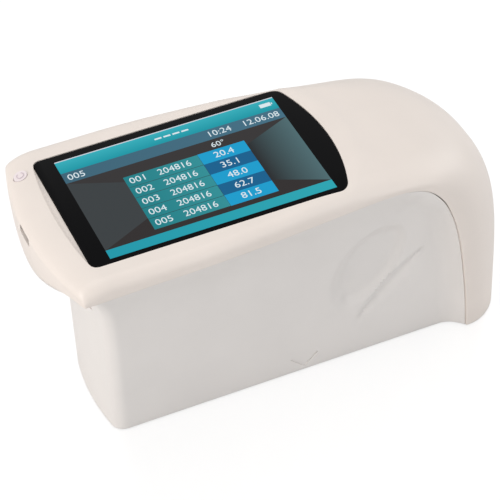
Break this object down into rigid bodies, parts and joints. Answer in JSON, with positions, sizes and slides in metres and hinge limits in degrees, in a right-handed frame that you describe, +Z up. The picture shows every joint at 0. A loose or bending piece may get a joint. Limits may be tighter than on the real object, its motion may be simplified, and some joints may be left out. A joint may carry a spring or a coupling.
{
  "type": "gloss meter",
  "caption": "Hand-held instrument with a colour display on a wide head; it stands on a narrow base and measures surface gloss through an opening underneath.",
  "frame": {"origin": "middle of the footprint on the floor under the whole object", "axes": "+X along the head from the connector end to the rounded nose, +Y across, +Z up"},
  "size_m": [0.16, 0.073, 0.0811],
  "materials": {
    "base_plate": "warm white moulded ABS",
    "base_screw_1": "plated steel",
    "base_screw_2": "plated steel",
    "base_screw_3": "plated steel",
    "base_screw_4": "plated steel",
    "battery_cable": "black insulation",
    "battery_connector": "cream nylon",
    "battery_pack": "blue shrink sleeve",
    "battery_tray": "black moulded ABS",
    "block_screw_1": "plated steel",
    "block_screw_2": "plated steel",
    "board_screw_1": "plated steel",
    "board_screw_2": "plated steel",
    "board_screw_3": "plated steel",
    "board_screw_4": "plated steel",
    "board_standoff_1": "turned brass",
    "board_standoff_2": "turned brass",
    "board_standoff_3": "turned brass",
    "board_standoff_4": "turned brass",
    "bracket_screw_1": "plated steel",
    "bracket_screw_2": "plated steel",
    "bracket_screw_3": "plated steel",
    "bracket_screw_4": "plated steel",
    "buzzer": "black moulded component",
    "collimator_lens": "clear optical glass",
    "display_bracket": "pressed steel sheet",
    "display_cable": "amber polyimide",
    "io_board": "green glass-fibre board",
    "io_screw_1": "plated steel",
    "io_screw_2": "plated steel",
    "lamp_board": "green glass-fibre board",
    "lamp_led": "clear optical glass",
    "lamp_slit": "black anodised",
    "lcd_backlight": "pressed steel sheet",
    "lcd_panel": "display panel",
    "lower_housing": "soft grey-white moulded ABS",
    "main_board": "green glass-fibre board",
    "memory_chip": "black moulded component",
    "nose_screw_1": "plated steel",
    "nose_screw_2": "plated steel",
    "optical_block": "black anodised",
    "optics_cable": "black insulation",
    "photodiode": "black moulded component",
    "power_button": "white moulded button",
    "processor_chip": "black moulded component",
    "receiver_lens": "clear optical glass",
    "receiver_slit": "black anodised",
    "screen_window": "black bordered glass, glossy",
    "sensor_board": "green glass-fibre board",
    "switch_body": "black moulded component",
    "switch_plunger": "cream nylon",
    "top_cover": "warm white moulded ABS, satin",
    "usb_socket": "pressed steel sheet",
    "window_gasket": "black foam"
  },
  "bodies": {
    "housing": {"base_plate": "base_plate", "base_screw_1": "base_screw_1", "base_screw_2": "base_screw_2", "base_screw_3": "base_screw_3", "base_screw_4": "base_screw_4", "battery_cable": "battery_cable", "battery_connector": "battery_connector", "battery_pack": "battery_pack", "battery_tray": "battery_tray", "block_screw_1": "block_screw_1", "block_screw_2": "block_screw_2", "board_screw_1": "board_screw_1", "board_screw_2": "board_screw_2", "board_screw_3": "board_screw_3", "board_screw_4": "board_screw_4", "board_standoff_1": "board_standoff_1", "board_standoff_2": "board_standoff_2", "board_standoff_3": "board_standoff_3", "board_standoff_4": "board_standoff_4", "bracket_screw_1": "bracket_screw_1", "bracket_screw_2": "bracket_screw_2", "bracket_screw_3": "bracket_screw_3", "bracket_screw_4": "bracket_screw_4", "buzzer": "buzzer", "collimator_lens": "collimator_lens", "display_bracket": "display_bracket", "display_cable": "display_cable", "io_board": "io_board", "io_screw_1": "io_screw_1", "io_screw_2": "io_screw_2", "lamp_board": "lamp_board", "lamp_led": "lamp_led", "lamp_slit": "lamp_slit", "lcd_backlight": "lcd_backlight", "lcd_panel": "lcd_panel", "lower_housing": "lower_housing", "main_board": "main_board", "memory_chip": "memory_chip", "nose_screw_1": "nose_screw_1", "nose_screw_2": "nose_screw_2", "optical_block": "optical_block", "optics_cable": "optics_cable", "photodiode": "photodiode", "processor_chip": "processor_chip", "receiver_lens": "receiver_lens", "receiver_slit": "receiver_slit", "screen_window": "screen_window", "sensor_board": "sensor_board", "switch_body": "switch_body", "top_cover": "top_cover", "usb_socket": "usb_socket", "window_gasket": "window_gasket"},
    "power_button": {"power_button": "power_button", "switch_plunger": "switch_plunger"}
  },
  "joints": [
    {"name": "power_button_press", "type": "slide", "parent": "housing", "child": "power_button", "axis": [0, 0, -1], "range_m": [0, 0.0005], "stiffness_N_per_m": 300, "springref_m": -0.0005}
  ]
}
